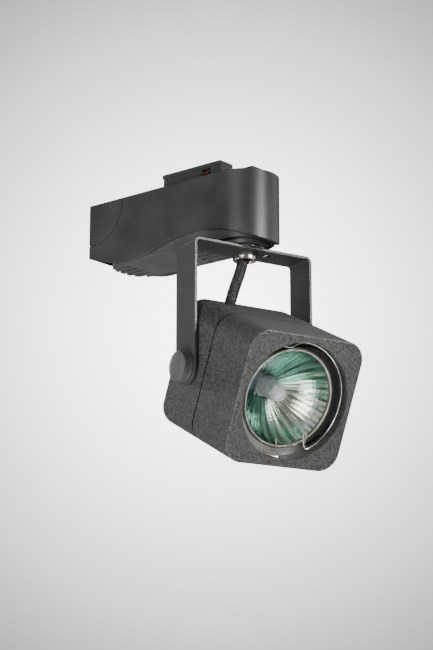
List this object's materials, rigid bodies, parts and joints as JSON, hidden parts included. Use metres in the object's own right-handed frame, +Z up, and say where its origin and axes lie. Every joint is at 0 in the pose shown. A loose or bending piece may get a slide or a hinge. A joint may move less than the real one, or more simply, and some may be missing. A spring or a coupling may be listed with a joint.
{
  "type": "track spotlight",
  "caption": "Track spotlight: long adapter box with a built-in transformer, swivelling U bracket and tilting square lamp head with a dichroic reflector lamp.",
  "frame": {"origin": "on the pan axis, in the plane of the adapter's shoulders that bears on the track's underside", "axes": "+Z up into the track, +X along the track from the latch towards the swivel, +Y across the track; the bracket is stored panned 18 degrees clockwise seen from above and the head tilted 26.1 degrees down"},
  "size_m": [0.1562, 0.0888, 0.1689],
  "materials": {
    "black_plastic": "satin black moulding",
    "belly_plastic": "matt black moulding",
    "latch_plastic": "satin black moulding",
    "head_black": "die-cast, black fine-grain powder coat",
    "bracket_black": "satin black powder coat on steel strip",
    "knob_black": "satin black moulding",
    "nickel": "nickel plate",
    "steel": "zinc-plated steel",
    "spring_steel": "bright spring steel",
    "copper": "copper alloy strip",
    "brass": "turned brass",
    "ring_aluminium": "pressed aluminium",
    "dichroic_glass": "dichroic-coated glass",
    "clear_glass": "clear glass",
    "quartz": "clear quartz",
    "ceramic": "white ceramic",
    "board": "green circuit board",
    "core": "wound ferrite core",
    "electronics": "black component bodies",
    "terminals": "green moulding",
    "silicone": "silicone insulation",
    "lead_insulation": "lead insulation",
    "cord_braid": "black braided sleeve",
    "black_nylon": "black nylon",
    "disc_black": "dark acetal"
  },
  "bodies": {
    "adapter": {"adapter_housing": "black_plastic", "adapter_cover": "belly_plastic", "cover_screws": "steel", "contact_head": "black_plastic", "live_contact": "copper", "neutral_contact": "copper", "earth_contact": "copper", "lock_lever_pin": "steel", "lock_spring": "spring_steel", "transformer_board": "board", "output_transformer": "core", "filter_capacitor": "electronics", "switching_transistors": "electronics", "terminal_blocks": "terminals", "mains_leads": "lead_insulation", "output_leads": "silicone"},
    "latch": {"lock_lever": "latch_plastic", "lock_tongue": "spring_steel"},
    "bracket": {"bracket": "bracket_black", "pan_nipple": "nickel", "pan_nut": "nickel", "cord_collar": "nickel", "dome_washer": "nickel", "turntable_disc": "disc_black", "stop_washer": "steel", "spring_washer": "spring_steel", "lock_nut": "steel", "lamp_cord": "cord_braid"},
    "head": {"rear_housing": "head_black", "front_housing": "head_black", "housing_screws": "steel", "pivot_inserts": "brass", "pivot_spacers": "black_nylon", "cord_bush": "black_nylon", "lamp_ring": "ring_aluminium", "lamp_reflector": "dichroic_glass", "lamp_glass": "clear_glass", "lamp_capsule": "quartz", "lamp_pins": "steel", "lamp_clip": "spring_steel", "lamp_holder": "ceramic", "holder_bracket": "steel", "holder_screws": "steel", "lamp_leads": "silicone"},
    "left_thumb_screw": {"left_knob": "knob_black", "left_knob_washer": "knob_black", "left_knob_stud": "steel"},
    "right_thumb_screw": {"right_knob": "knob_black", "right_knob_washer": "knob_black", "right_knob_stud": "steel"}
  },
  "joints": [
    {"name": "pan", "type": "hinge", "parent": "adapter", "child": "bracket", "pos_m": [0, 0, -0.0371], "axis": [0, 0, 1], "range_deg": [-150, 186]},
    {"name": "tilt", "type": "hinge", "parent": "bracket", "child": "head", "pos_m": [0, 0, -0.106], "axis": [0.309, 0.9511, 0], "range_deg": [-26.1, 63.9], "deforming": ["lamp_cord"]},
    {"name": "left_knob_turn", "type": "hinge", "parent": "head", "child": "left_thumb_screw", "pos_m": [0, 0, -0.106], "axis": [-0.309, -0.9511, 0], "range_deg": [0, 360]},
    {"name": "right_knob_turn", "type": "hinge", "parent": "head", "child": "right_thumb_screw", "pos_m": [0, 0, -0.106], "axis": [0.309, 0.9511, 0], "range_deg": [0, 360]},
    {"name": "lock_release", "type": "hinge", "parent": "adapter", "child": "latch", "pos_m": [-0.0909, 0, -0.003], "axis": [0, 1, 0], "range_deg": [0, 25], "stiffness_Nm_per_rad": 0.04, "springref_deg": -17.19, "deforming": ["lock_spring"]}
  ]
}
